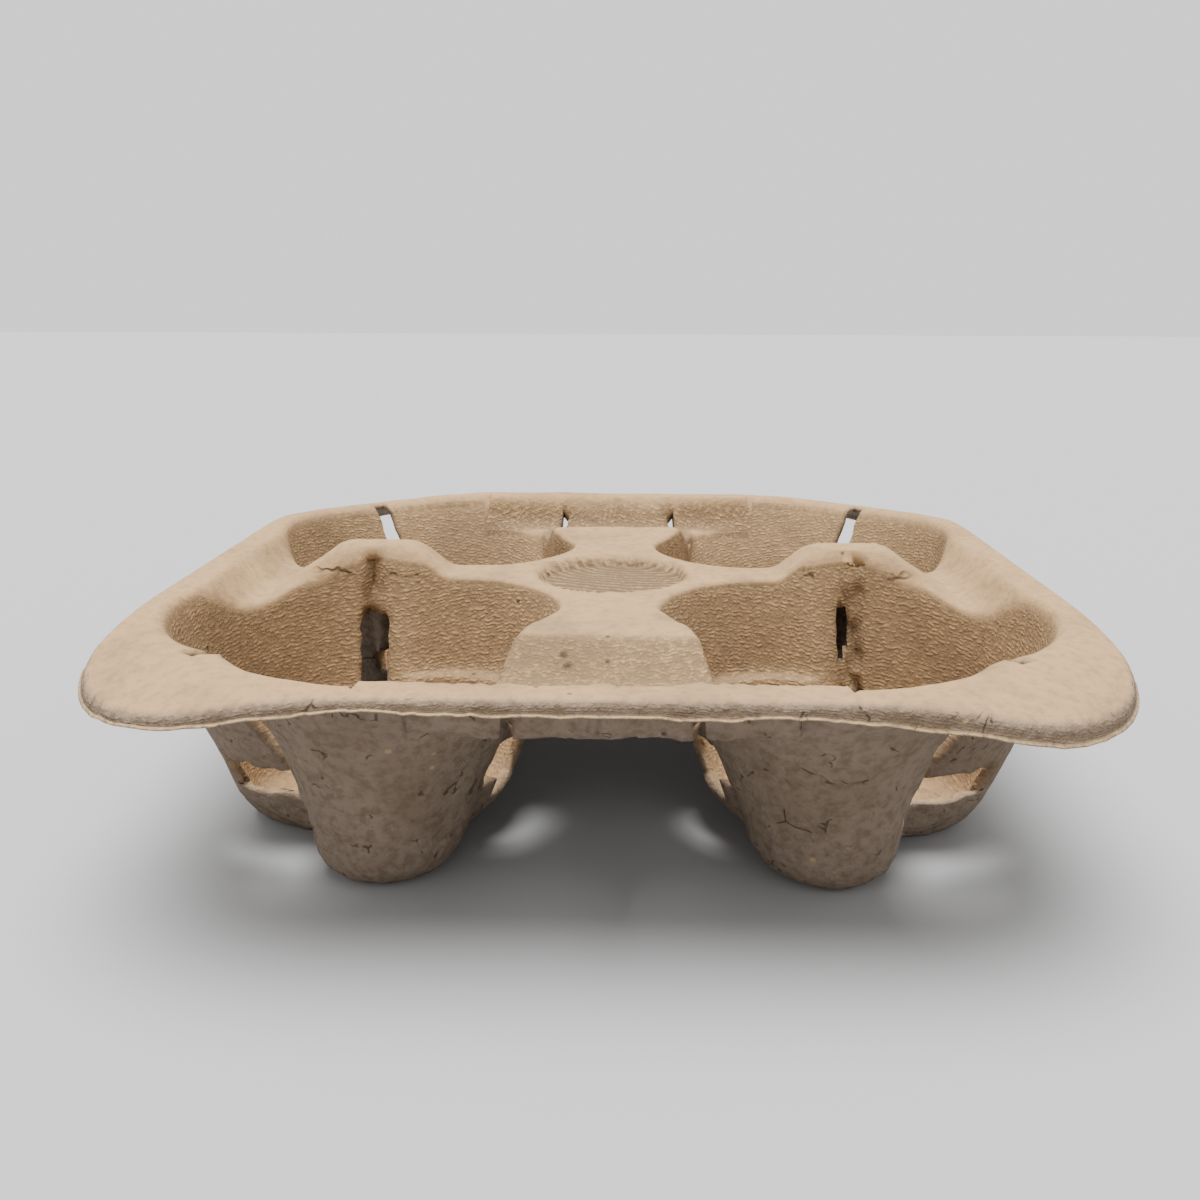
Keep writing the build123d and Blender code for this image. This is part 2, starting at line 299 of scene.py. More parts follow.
def knots_at(height):
    """Bearings of the columns that must not stray, for each height."""
    z = np.maximum(height, LOWEST_SLOT)
    level = np.zeros_like(z)
    side_x, side_y, side = circle_at(SIDE_LOBE, z)
    hump_edges = [bearing_of(x, side_y - np.sqrt(side**2 - (x - side_x) ** 2)) for x in HUMP_SLOT]
    far = wall_distance(level + CORNER_BEARING, z, 0.0)
    corner_marks = (CORNER_WINDOW[0], *CORNER_SLOT, CORNER_WINDOW[1])
    end = wall_distance(level + 180, z, 0.0)
    end_edges = [180 + np.degrees(np.arcsin(mark / end)) for mark in END_WINDOW]
    before_corner = 14 - 28 * smooth_step(z, 45, 22)
    return np.stack(
        [level + START, before_corner]
        + [CORNER_BEARING + np.degrees(np.arcsin(mark / far)) for mark in corner_marks]
        + [level + 78, level + SLIT[0], level + SLIT[1], level + 143, level + 157]
        + end_edges
        + [level + 214, level + bearing_of(0, 0), level + 248]
        + hump_edges
        + [level + 312, level + START + 360]
    )


MOUTH_LEVEL = 54.0
KNOTS = knots_at(np.array([MOUTH_LEVEL]))[:, 0]
COLUMN_COUNTS = (36, 14, 9, 4, 2, 15, 38, 4, 4, 8, 9, 8, 11, 12, 18, 18, 6, 10, 4)
columns = np.concatenate(
    [np.linspace(a, b, n, endpoint=False) for a, b, n in zip(KNOTS[:-1], KNOTS[1:], COLUMN_COUNTS)]
)
KNOT_COLUMNS = np.concatenate([[0], np.cumsum(COLUMN_COUNTS)])
narrowest = np.diff(knots_at(np.linspace(0, 60, 61)), axis=0).min()
print(len(columns), "columns, knots at bearings", np.round(KNOTS).astype(int))
print("neighbouring knots are at least", narrowest.round(1), "degrees apart at every height")


# %% Columns at other heights, and their ends on the border
def bearings_at(z):
    """Bearing of every column, stretched between the knots at the heights in z."""
    knots = knots_at(z)
    place = np.searchsorted(KNOTS, columns, side="right") - 1
    share = (columns - KNOTS[place]) / (KNOTS[place + 1] - KNOTS[place])
    low = np.take_along_axis(knots, place[None], axis=0)[0]
    high = np.take_along_axis(knots, place[None] + 1, axis=0)[0]
    return low + share * (high - low)


def border_points():
    """End of every column, spread by arc length between the ends of the knots."""
    arc = np.radians(np.linspace(0, 90, 60))
    corner = RIM - CORNER + CORNER * np.stack([np.cos(arc), np.sin(arc)], axis=1)
    path = np.concatenate([[[RIM, 0]], corner, [[0, RIM], [0, 0], [RIM, 0]]])
    length = np.concatenate([[0], np.cumsum(np.hypot(*np.diff(path, axis=0).T))])
    corner_middle = RIM - CORNER + CORNER * np.pi / 4
    back, hub = length[-3], length[-2]
    places = np.interp(KNOTS, [START, KNOTS[1], KNOTS[6]], [0, 52.0, 2 * corner_middle - 52.0])
    places[2:6] = corner_middle + np.array([-12.0, -3.0, 3.0, 5.0])
    places[7:9] = back - 17.3, back - 13.9
    places[9], places[14] = back, hub
    places[10:14] = back + np.array([20.0, 45.0, 60.0, 90.0])
    places[15] = hub + 24.0
    places[16:18] = hub + np.array(HUMP_SLOT)
    places[18], places[19] = hub + 90.0, length[-1]
    along = np.interp(columns, KNOTS, places)
    return np.interp(along, length, path[:, 0]), np.interp(along, length, path[:, 1])


border_x, border_y = border_points()
print("border runs from", (border_x[0], border_y[0]), "past the corner to", (0.0, round(RIM, 1)))

# %% [markdown]
# ## One quarter as two sheets
#
# The upper face and the lower face are two grids with the same rows and columns: rings
# of the pocket's floor, the rounding at its foot, the wall, the rolled edge at the mouth
# and the deck out to the border.  Equal grids make it easy to close the edges of a slot,
# because every upper point has its partner underneath.

# %% Rows of a sheet
FLOOR_ROWS, FOOT_ROWS, MOUTH_ROWS, DECK_ROWS = 4, 5, 3, 12
SHANK_ROWS, KNEE_ROWS, PETAL_ROWS = 8, 3, 11
WALL_ROWS = SHANK_ROWS + KNEE_ROWS + PETAL_ROWS


def curve(p0, p1, p2, count):
    """Points of a quadratic Bezier curve after its start: (1-t)^2 p0 + 2t(1-t) p1 + t^2 p2."""
    t = np.linspace(0, 1, count + 1)[1:, None, None]
    return (1 - t) ** 2 * p0 + 2 * t * (1 - t) * p1 + t**2 * p2


def wall_point(z, clearance):
    """Points of the pocket wall at the heights in z, one for each column."""
    bearing = bearings_at(z)
    x, y = from_pocket(bearing, wall_distance(bearing, z, clearance))
    return np.stack([x, y, z], axis=-1)


def quarter_sheet(clearance, floor, height, foot_round, mouth_round):
    """Rows of one face of the quarter, from the pocket's middle out to the border."""
    level = np.full(columns.shape, floor)
    middle = np.stack([np.full_like(level, POCKET[0]), np.full_like(level, POCKET[1]), level], axis=-1)
    corner = wall_point(level, clearance)
    distance = np.linalg.norm(middle - corner, axis=-1)
    foot_round = np.minimum(foot_round * (0.85 + 1.4 * to_hub**2), 0.75 * distance)
    inward = (middle - corner) / distance[:, None]
    foot_start = corner + foot_round[:, None] * inward
    foot_end = wall_point(level + foot_round, clearance)
    floor_share = np.linspace(0, 1, FLOOR_ROWS + 1)[:, None, None]
    floor_rows = middle + floor_share * (foot_start - middle)
    foot_rows = curve(foot_start, corner, foot_end, FOOT_ROWS)
    mouth_z = mouth_of(columns, clearance, height)
    wall_top = mouth_z - mouth_round
    shank = np.linspace(level + foot_round, np.full_like(level, KNEE - 0.6), SHANK_ROWS + 1)[1:]
    petal = np.linspace(np.full_like(level, KNEE + 0.6), wall_top, PETAL_ROWS)
    knee = np.linspace(shank[-1], petal[0], KNEE_ROWS + 2)[1:-1]
    wall_rows = np.stack([wall_point(z, clearance) for z in (*shank, *knee, *petal)])
    x, y = from_pocket(columns, wall_distance(columns, mouth_z, clearance))
    reach_x, reach_y = border_x - x, border_y - y
    reach = np.hypot(reach_x, reach_y)
    roll = np.clip(np.minimum(mouth_round, 0.45 * reach) / reach, 0, 1)
    edge_x, edge_y = x + roll * reach_x, y + roll * reach_y
    edge = np.stack([edge_x, edge_y, height(edge_x, edge_y)], axis=-1)
    mouth = np.stack([x, y, mouth_z], axis=-1)
    mouth_rows = curve(wall_rows[-1], mouth, edge, MOUTH_ROWS)
    deck_share = np.linspace(0, 1, DECK_ROWS + 1)[1:, None]
    deck_x = edge_x + deck_share * (border_x - edge_x)
    deck_y = edge_y + deck_share * (border_y - edge_y)
    deck_rows = np.stack([deck_x, deck_y, height(deck_x, deck_y)], axis=-1)
    return np.concatenate([floor_rows, foot_rows, wall_rows, mouth_rows, deck_rows])


to_hub = (1 + np.cos(np.radians(columns - HUB_BEARING))) / 2
mouth_round = MOUTH_ROUND[1] + to_hub * (MOUTH_ROUND[0] - MOUTH_ROUND[1])
upper = quarter_sheet(0.0, WALL, deck_height, FOOT_ROUND, mouth_round)
lower = quarter_sheet(WALL, 0.0, deck_under, FOOT_ROUND + WALL, np.maximum(mouth_round - WALL, 0.6))
ROWS = upper.shape[0]
print("sheet of", upper.shape[:2], "points")
print("lowest", upper[..., 2].min(), "mm, highest", upper[..., 2].max().round(2), "mm")

# %% [markdown]
# ## Slots and windows
#
# A cell of the grid is kept or left out by the height of its middle and by its column.
# The slit beside the end arm lies in the deck, so there the row decides.


# %% Cells to leave out
def between(first, last):
    """Columns of cells from one knot to another."""
    cells = np.arange(len(columns))
    return (cells >= KNOT_COLUMNS[first]) & (cells < KNOT_COLUMNS[last])


cell_z = (upper[:-1, :, 2] + upper[1:, :, 2]) / 2
cell_row = np.arange(ROWS - 1)[:, None]
first_mouth = FLOOR_ROWS + FOOT_ROWS + WALL_ROWS
first_deck = first_mouth + MOUTH_ROWS
on_wall = (cell_row >= FLOOR_ROWS) & (cell_row < first_mouth)

to_edge = (cell_row >= FLOOR_ROWS) & (cell_row < first_deck)
past_edge = (cell_row >= FLOOR_ROWS) & (cell_row < first_deck + 1)


def in_span(span):
    """Cells of the wall whose middle is between two heights."""
    return on_wall & (cell_z > span[0]) & (cell_z < span[1])


hump_slot = between(16, 17) & to_edge & (cell_z > HUMP_SLOT_FOOT)
corner_slot = between(3, 4) & past_edge & (cell_z > CORNER_SLOT_FOOT)
corner_window = between(2, 5) & in_span(CORNER_WINDOW_SPAN)
end_window = between(11, 12) & in_span(END_WINDOW_SPAN)
slit = between(7, 8) & (cell_row >= first_mouth) & (cell_row < first_deck + SLIT_ROWS)
open_cells = hump_slot | corner_slot | corner_window | end_window | slit
print("cells of the slots:", int(open_cells.sum()), "of", open_cells.size)

# %% [markdown]
# ## Torn pulp
#
# No two slots are alike.  Under one front hump a lump of felt still fills the top of the
# slot, and under the other a cracked web covers nearly all of it.  The hidden slots
# behind are closed down to near their feet.  Those cells stay, and the points inside a
# slot sink away from the pocket.  Points on a slot's edge are frayed: they are shifted
# along the sheet by fine noise.


# %% What stays in the slots, and their edges
LUMP_FOOT, WEB_FOOT, WEB_CRACK, ROOF_FOOT = 42.5, 23.0, (33.0, 44.0), 57.0
BACK_WEB_FOOT = {-1: 26.0, 1: 15.0}


def torn_pulp(sign_x, sign_y):
    """Slot cells that torn pulp still fills in one quarter, with a ragged outline."""
    across = (upper[:-1, :, 0] + upper[1:, :, 0]) / 2
    ragged = cell_z + 2.5 * noise(sign_x * across, sign_y, cell_z, 3.0, 71)
    lump = (sign_x < 0) & (sign_y < 0) & (ragged > LUMP_FOOT)
    near_edge = between(16, 17) & (np.arange(len(columns)) < KNOT_COLUMNS[16] + 2)
    crack = near_edge & (ragged > WEB_CRACK[0]) & (ragged < WEB_CRACK[1])
    web = (sign_x > 0) & (sign_y < 0) & (ragged > WEB_FOOT) & ~crack
    behind = (sign_y > 0) & (ragged > BACK_WEB_FOOT[sign_x])
    return hump_slot & (lump | web | behind | (ragged > ROOF_FOOT))


def torn_edge(kept):
    """1 at the grid points on the edge of an opening, 0 at the others."""
    padded = np.pad(kept.astype(int), ((1, 1), (0, 0)), constant_values=1)
    around = padded[:-1] + padded[1:]
    around = around + np.roll(around, 1, axis=1)
    return ((around > 0) & (around < 4)).astype(float)


place = (np.arange(len(columns)) - KNOT_COLUMNS[16]) / (KNOT_COLUMNS[17] - KNOT_COLUMNS[16])
SINK = 2.6 * np.sin(np.pi * np.clip(place, 0, 1)) * smooth_step(upper[..., 2], 17, 21)
SINK[first_deck:] = 0
print("torn pulp keeps", [int(torn_pulp(*signs).sum()) for signs in ((-1, -1), (1, -1))], "cells")

# %% [markdown]
# ## The lip
#
# Round the rim the felt turns down over a rounded shoulder and ends in a trimmed edge
# with a thin bead of flash.  It is a profile carried along the border: distance outwards
# from the border and drop below the rim at each of its points.

# %% Profile of the lip
turn = np.radians([22.5, 45.0, 67.5, 85.0])
LIP_OUT = np.concatenate([SHOULDER * np.sin(turn), [2.05, 2.1, 2.25, 2.55, 2.7, 2.55, 1.6, 0.6, 0.2]])
LIP_DROP = np.concatenate([SHOULDER * (1 - np.cos(turn)), [2.2, 2.6, 2.7, 2.8, 2.95, 3.15, 3.2, 3.1, 2.8]])
LIP_EDGE = np.concatenate([np.zeros(4), [0.3, 0.8, 1.0, 1.0, 1.0, 1.0, 0.9, 0.5, 0.0]])
# Share of each lip row tinted lighter: a painted highlight on the flash's upper face.
LIP_FLASH_HIGHLIGHT = np.concatenate([np.zeros(4), [0.0, 0.2, 0.8, 1.0, 0.8, 0.2, 0.0, 0.0, 0.0]])
LIP_SWELLS = ((-88.0, 16.0, -0.9), (-46.0, 12.0, -0.9), (64.0, 9.0, 0.8))
rim_columns = KNOT_COLUMNS[9] + 1


def lip_points(sign_x, sign_y):
    """Rows of the lip in one quarter, from the upper sheet's border to the lower sheet's."""
    x, y = border_x[:rim_columns], border_y[:rim_columns]
    normal_x = (x - np.clip(x, 0, RIM - CORNER)) / CORNER
    normal_y = (y - np.clip(y, 0, RIM - CORNER)) / CORNER
    px = x + LIP_OUT[:, None] * normal_x
    py = y + LIP_OUT[:, None] * normal_y
    at_x, at_y = sign_x * x, sign_y * y
    wave = 0.45 * noise(at_x, at_y, 0.0, 17.0, 5) + 0.3 * noise(at_x, at_y, 0.0, 4.0, 6)
    wave = wave + 0.25 * noise(at_x, at_y, 0.0, 1.5, 7)
    swell = sum(high * np.exp(-(((at_x - at) / wide) ** 2)) for at, wide, high in LIP_SWELLS)
    wave = wave + swell * smooth_step(-at_y, 40, 80)
    pz = rim_height(px, py) - LIP_DROP[:, None] - LIP_EDGE[:, None] * wave
    return np.stack([px, py, pz], axis=-1)


print("lip of", len(LIP_OUT), "rows and", rim_columns, "columns in each quarter")

# %% [markdown]
# ## Unevenness
#
# Dried felt is never flat.  Each point is pushed along the way it faces, up on the deck
# and towards the pocket on the walls, by noise of three sizes.  The lower face sat on no
# mould, so its lumps are larger.  The push is worked out from the point's place in the
# whole carrier, so the four quarters still meet along the arms.


# %% Push the points about
def roughened(sheet, sign_x, sign_y, strengths, seed, fray):
    """Sheet in its own quarter of the carrier, pushed about by noise of 22, 7 and 2.6 mm.

    Points on the edge of an opening, marked in fray, also shift along the sheet.
    """
    placed = sheet * np.array([sign_x, sign_y, 1.0])
    x, y, z = np.moveaxis(placed, -1, 0)
    push = sum(s * noise(x, y, z, size, seed + i) for i, (s, size) in enumerate(zip(strengths, (22, 7, 2.6))))
    push = push - SINK * (0.9 + 1.3 * noise(x, y, z, 2.0, 61))
    row = np.arange(ROWS)[:, None]
    upright = smooth_step(row, FLOOR_ROWS, FLOOR_ROWS + FOOT_ROWS) - smooth_step(row, first_mouth, first_deck)
    bearing = np.arctan2(sheet[..., 1] - POCKET[1], sheet[..., 0] - POCKET[0])
    way_x, way_y = -upright * np.cos(bearing) * sign_x, -upright * np.sin(bearing) * sign_y
    way = np.stack([way_x, way_y, 1 - upright + 0 * bearing], axis=-1)
    aside = 0.7 * fray * noise(x, y, z, 1.7, 51)
    along = np.stack([-aside * way_y, aside * way_x, 0.9 * fray * upright * noise(x, y, z, 1.7, 52)], axis=-1)
    return placed + push[..., None] * way + along


PLATE_START, PLATE_END, PLATE_SIDE, END_WALL_START = (56, 59), (97, 95), (27, 23), (86, 90)


def imprint(sheet, strength):
    """Weave coordinates in mm for each point, and how strongly the wire mesh shows there.

    On the walls they are (arc length, height), elsewhere (x, y).  The mesh shows on walls
    and floor, on the end arm's plate and in the hub's recess.
    """
    x, y, z = np.moveaxis(sheet, -1, 0)
    row = np.arange(ROWS)[:, None]
    on_wall = (row > FLOOR_ROWS) & (row < first_mouth + 1)
    u = np.where(on_wall, ARC_RADIUS * np.radians(bearing_of(x, y)), x)
    v = np.where(on_wall, z, y)
    end_wall = smooth_step(y, *END_WALL_START) * smooth_step(x, ARM_HALF + ARM_FADE, ARM_HALF)
    plate = np.maximum(smooth_step(x, *PLATE_SIDE), end_wall)
    plate = plate * smooth_step(y, *PLATE_START) * smooth_step(y, *PLATE_END)
    recess = smooth_step(np.hypot(x, y), RECESS_RADIUS - 0.5, RECESS_RADIUS - 1.5)
    deck = 0.08 + 1.3 * np.maximum(plate, recess)
    wall = 1 - smooth_step(row, first_mouth - 1, first_mouth + 2)
    above_foot = smooth_step(row, FLOOR_ROWS, FLOOR_ROWS + FOOT_ROWS)
    wall = wall * (0.3 + 0.7 * above_foot) * (1 + 0.2 * np.clip(SINK, 0, 1))
    return np.stack([u, v, strength * np.maximum(wall, np.where(row > first_mouth, deck, 0))], axis=-1)


def sheet_faces(rows, count, wrap):
    """Four corner numbers of every cell of a grid, turned so that the upper face looks up."""
    row, column = np.meshgrid(np.arange(rows - 1), np.arange(count if wrap else count - 1), indexing="ij")
    after = (column + 1) % count
    here, below = row * count, (row + 1) * count
    return np.stack([here + column, below + column, below + after, here + after], axis=-1)


def slot_sides(kept, top, bottom):
    """Quads that close the edge of every left-out cell, from the upper to the lower face."""
    faces = sheet_faces(ROWS, len(columns), True)
    sides = []
    for step, axis, (u, v) in ((1, 1, (0, 1)), (-1, 1, (2, 3)), (-1, 0, (1, 2)), (1, 0, (3, 0))):
        beside = np.roll(kept, step, axis=axis)
        edge = faces[kept & ~beside]
        first, second = edge[:, u], edge[:, v]
        sides.append(np.stack([top + second, top + first, bottom + first, bottom + second], axis=-1))
    return np.concatenate(sides)


# %% Four quarters
UPPER_PUSH = (0.30, 0.14, 0.06)
LOWER_PUSH = (0.40, 0.35, 0.26)
vertices, quads, skins_and_shade, weaves, torn, count = [], [], [], [], [], 0
for sign_x, sign_y in ((1, 1), (-1, 1), (-1, -1), (1, -1)):
    kept = ~open_cells | torn_pulp(sign_x, sign_y)
    fray = torn_edge(kept)
    top = roughened(upper, sign_x, sign_y, UPPER_PUSH, 11, fray)
    bottom = roughened(lower, sign_x, sign_y, LOWER_PUSH, 31, fray)
    lip = lip_points(sign_x, sign_y) * np.array([sign_x, sign_y, 1.0])
    lip = np.concatenate([top[-1:, :rim_columns], lip, bottom[-1:, :rim_columns]])
    size = top.shape[0] * top.shape[1]
    cells = sheet_faces(ROWS, len(columns), True)[kept]
    parts = [
        count + cells,
        count + size + cells[:, ::-1],
        slot_sides(kept, count, count + size),
        count + 2 * size + sheet_faces(len(lip), rim_columns, False).reshape(-1, 4),
    ]
    quads.append(np.concatenate(parts)[:, :: sign_x * sign_y])
    vertices.append(np.concatenate([part.reshape(-1, 3) for part in (top, bottom, lip)]))
    lip_row = np.arange(len(lip))
    # The lip's shoulder and face take the lower face's darker colour as painted shade.
    lip_painted_shade = np.repeat(smooth_step(lip_row, 0, 3), rim_columns)
    skins_and_shade.append(np.concatenate([np.zeros(size), np.ones(size), lip_painted_shade]))
    lip_run = np.broadcast_to(ARC_RADIUS * np.radians(columns[:rim_columns]), (len(lip), rim_columns))
    lip_fall = np.broadcast_to(1.1 * lip_row[:, None], lip_run.shape)
    # The print on the lip's shoulder band is stronger than on the walls: mesh print, and painted shade of the
    # lip's face.
    lip_print_and_shade = 1.2 * smooth_step(lip_row, 1, 4) * smooth_step(lip_row, 8, 6)
    lip_mesh_and_shade = np.broadcast_to(lip_print_and_shade[:, None], lip_run.shape)
    lip_weave = np.stack([lip_run, lip_fall, lip_mesh_and_shade], axis=-1)
    sheets = [imprint(upper, 1.0), imprint(lower, 0.0), lip_weave]
    weaves.append(np.concatenate([part.reshape(-1, 3) for part in sheets]))
    # The torn attribute also carries the lip's flash rows, tinted lighter as a painted highlight.
    lip_flash_highlight = np.repeat(np.concatenate([[0], LIP_FLASH_HIGHLIGHT, [0]]), rim_columns)
    torn.append(np.concatenate([0.1 * fray.ravel(), 0.1 * fray.ravel(), lip_flash_highlight]))
    count += len(vertices[-1])
print(count, "points in four quarters")

# %% [markdown]
# ## One closed mesh
#
# The back rim sags a little, and no lump reaches below the level the feet stand on.
# The quarters share their borders, so points in the same place become one point, and a
# cell with two equal corners becomes a triangle.  After that the shell is closed.


# %% Weld the quarters into one mesh
def weld(points, faces, tolerance):
    """First of the points in each place, faces on those, and which of their corners to keep.

    Places are points rounded to the tolerance.  A corner equal to the next one is dropped.
    """
    keys = np.round(points / tolerance).astype(np.int64)
    _, first, place = np.unique(keys, axis=0, return_index=True, return_inverse=True)
    faces = place.reshape(-1)[faces]
    keep = faces != np.roll(faces, -1, axis=1)
    return first, faces, keep


def corners_of(values, keep):
    """Values at the corners of the whole quads, then at those of the quads pinched to triangles."""
    kept_corners = keep.sum(axis=1)
    whole = values[kept_corners == 4]
    pinched = values[kept_corners == 3][keep[kept_corners == 3]]
    return whole, pinched.reshape(-1, 3, *values.shape[2:])


points = np.concatenate(vertices)
points[:, 2] -= BACK_SAG * smooth_step(points[:, 1], 50, 105) * smooth_step(points[:, 2], 20, 50)
points[:, 2] = np.maximum(points[:, 2], 0.0)
corners = np.concatenate(quads)
first, faces, keep = weld(points, corners, 1e-3)
whole, pinched = corners_of(faces, keep)
mesh = bpy.data.meshes.new("carrier_shell")
mesh.from_pydata(points[first] * MM, [], whole.tolist() + pinched.tolist())

# %% [markdown]
# The weave coordinates belong to the corners of faces, not to points, because a wall's
# arc length starts again at nought where the grid closes.  There the small values get
# one whole turn more.

# %% Attributes for the material
# skin is 1 on the lower face and on the lip's shoulder: greyer, pitted felt there, and painted shade.
mesh.attributes.new("skin_and_shade", "FLOAT", "POINT").data.foreach_set("value", np.concatenate(skins_and_shade)[first])
# torn lightens frayed slot edges, and on the lip's flash it is a painted highlight.
mesh.attributes.new("torn", "FLOAT", "POINT").data.foreach_set("value", np.concatenate(torn)[first])
stored = np.concatenate(weaves)[corners]
run = stored[..., 0]
closing = np.ptp(run, axis=1, keepdims=True) > np.pi * ARC_RADIUS
small = run < run.mean(axis=1, keepdims=True)
stored[..., 0] = np.where(closing & small, run + 2 * np.pi * ARC_RADIUS, run)
weave = mesh.attributes.new("weave", "FLOAT_VECTOR", "CORNER")
weave.data.foreach_set("vector", np.concatenate([part.ravel() for part in corners_of(stored, keep)]))
print(len(whole), "quads and", len(pinched), "triangles")

# %% The shell as an object
mesh.shade_smooth()
shell = bpy.data.objects.new("carrier_shell", mesh)
bpy.context.collection.objects.link(shell)
edge_faces = np.zeros(len(mesh.edges), int)
loop_edges = np.empty(len(mesh.loops), int)
mesh.loops.foreach_get("edge_index", loop_edges)
np.add.at(edge_faces, loop_edges, 1)
print("triangles:", 2 * len(whole) + len(pinched))
print("edges with other than two faces:", int((edge_faces != 2).sum()))

# %% [markdown]
# ## Pressed fibre
#
# The material has to give the eye dry, matt paper felt.  Its upper face is light beige.
# The walls inside the pockets carry the fine wavy print of the wire mesh on the mould.
# The outside sat on no mesh: it is greyer, pitted, and marked by short dark cracks, and its colour is darker
# still as painted shade.
# Colours are given as sRGB hex codes and turned linear by one function.


# %% Colours and a way to add nodes
def colour(code):
    """Linear colour with alpha from an sRGB hex code such as b79f80."""
    srgb = np.array([int(code[i : i + 2], 16) for i in (0, 2, 4)]) / 255
    linear = np.where(srgb <= 0.04045, srgb / 12.92, ((srgb + 0.055) / 1.055) ** 2.4)
    return (*linear, 1.0)


def add_node(tree, kind, inputs=(), **settings):
    """New node of a kind, with its settings, and its inputs set to values or linked to sockets."""
    node = tree.nodes.new(kind)
    for name, value in settings.items():
        setattr(node, name, value)
    for name, value in dict(inputs).items():
        if isinstance(value, bpy.types.NodeSocket):
            tree.links.new(value, node.inputs[name])
        else:
            node.inputs[name].default_value = value
    return node


def maths(tree, operation, *values):
    """Result of a Math node on one, two or three values or sockets."""
    node = add_node(tree, "ShaderNodeMath", dict(enumerate(values)), operation=operation)
    return node.outputs[0]


def ramp(tree, value, low, high):
    """0 where the value is at low, 1 where it is at high, and a smooth step between."""
    inputs = {"Value": value, "From Min": low, "From Max": high}
    return add_node(tree, "ShaderNodeMapRange", inputs, interpolation_type="SMOOTHSTEP").outputs["Result"]


def grain(tree, place, size_mm, detail):
    """Fractal noise from 0 to 1 whose largest lumps are size_mm across."""
    inputs = {"Vector": place, "Scale": 1 / (size_mm * MM), "Detail": detail, "Roughness": 0.6}
    return add_node(tree, "ShaderNodeTexNoise", inputs).outputs["Fac"]


def tint(tree, share, base, code):
    """Base colour changed to a hex colour by a share from 0 to 1."""
    inputs = {0: share, 6: base, 7: colour(code)}
    return add_node(tree, "ShaderNodeMix", inputs, data_type="RGBA").outputs[2]


# %% [markdown]
# ## Marks of the mould and of use
#
# Each mark is a mask from 0 to 1.  The mesh print is a sine across its wires, shifted to
# and fro along them.  Cracks are the borders of wandering cells, kept only in places.
# Specks are the middles of a few cells.  Layers have come apart along the hump fronts,
# and the plate of the front arm has two small dents.

# %% Masks
HUMP_CRACK, HUMP_SPAN = 8.2, (46.0, 52.0, 74.0, 79.0)
RING_CENTRE, RING_PITCH = (9.0, 36.0, 52.0), 2.7
DENTS = ((-9.2, -63.2, 49.2), (-8.2, -66.0, 47.7))


def mesh_print(tree, weave, wander, fine):
    """Wires 1 mm apart that wave every 2.4 mm: sin(6.2 v + 1.2 u + wave + wander), broken up by noise."""
    u, v = weave.outputs["X"], weave.outputs["Y"]
    wave = maths(tree, "SINE", maths(tree, "MULTIPLY_ADD", u, 2.6, maths(tree, "MULTIPLY", wander, 5.0)))
    slant = maths(tree, "MULTIPLY_ADD", u, 1.2, maths(tree, "MULTIPLY", wander, 14.0))
    phase = maths(tree, "MULTIPLY_ADD", wave, 0.8, maths(tree, "MULTIPLY_ADD", v, 6.2, slant))
    wires = maths(tree, "MULTIPLY_ADD", maths(tree, "SINE", phase), 0.5, 0.5)
    breaks = ramp(tree, fine, 0.38, 0.62)
    broken = maths(tree, "MULTIPLY", wires, breaks)
    return maths(tree, "MULTIPLY_ADD", broken, 0.6, maths(tree, "MULTIPLY", breaks, 0.4))


def rings(tree, place, wander):
    """Contour lines in the hub's recess: sin(2 pi d / pitch) of the distance from a point behind it."""
    inputs = {0: place, 1: tuple(MM * v for v in RING_CENTRE)}
    away = add_node(tree, "ShaderNodeVectorMath", inputs, operation="DISTANCE").outputs["Value"]
    shift = maths(tree, "MULTIPLY", wander, 9.0)
    turns = maths(tree, "MULTIPLY_ADD", away, 2 * np.pi / (RING_PITCH * MM), shift)
    level = add_node(tree, "ShaderNodeVectorMath", {0: place, 1: (1, 1, 0)}, operation="MULTIPLY").outputs[0]
    out = add_node(tree, "ShaderNodeVectorMath", {0: level}, operation="LENGTH").outputs["Value"]
    inside = ramp(tree, out, RECESS_RADIUS * MM, (RECESS_RADIUS - 1.0) * MM)
    lines = maths(tree, "MULTIPLY_ADD", maths(tree, "SINE", turns), 0.6, -0.45)
    return maths(tree, "MULTIPLY", inside, lines)


def cracks(tree, place, wander):
    """Thin borders of 10 mm cells whose walls wander, kept only in short stretches."""
    inputs = {0: wander, 1: (0.01,) * 3, 2: place}
    bent = add_node(tree, "ShaderNodeVectorMath", inputs, operation="MULTIPLY_ADD")
    inputs = {"Vector": bent.outputs[0], "Scale": 1 / (10 * MM)}
    border = add_node(tree, "ShaderNodeTexVoronoi", inputs, feature="DISTANCE_TO_EDGE").outputs["Distance"]
    some = ramp(tree, grain(tree, place, 5.0, 2.0), 0.56, 0.64)
    return maths(tree, "MULTIPLY", ramp(tree, border, 0.03, 0.006), some)


def specks(tree, place, size_mm, share):
    """Round specks in a share of the cells of a size."""
    inputs = {"Vector": place, "Scale": 1 / (size_mm * MM)}
    cell = add_node(tree, "ShaderNodeTexVoronoi", inputs, feature="F1")
    lot = add_node(tree, "ShaderNodeSeparateColor", {"Color": cell.outputs["Color"]}).outputs["Red"]
    spot = ramp(tree, cell.outputs["Distance"], 0.13, 0.06)
    return maths(tree, "MULTIPLY", spot, maths(tree, "LESS_THAN", lot, share))


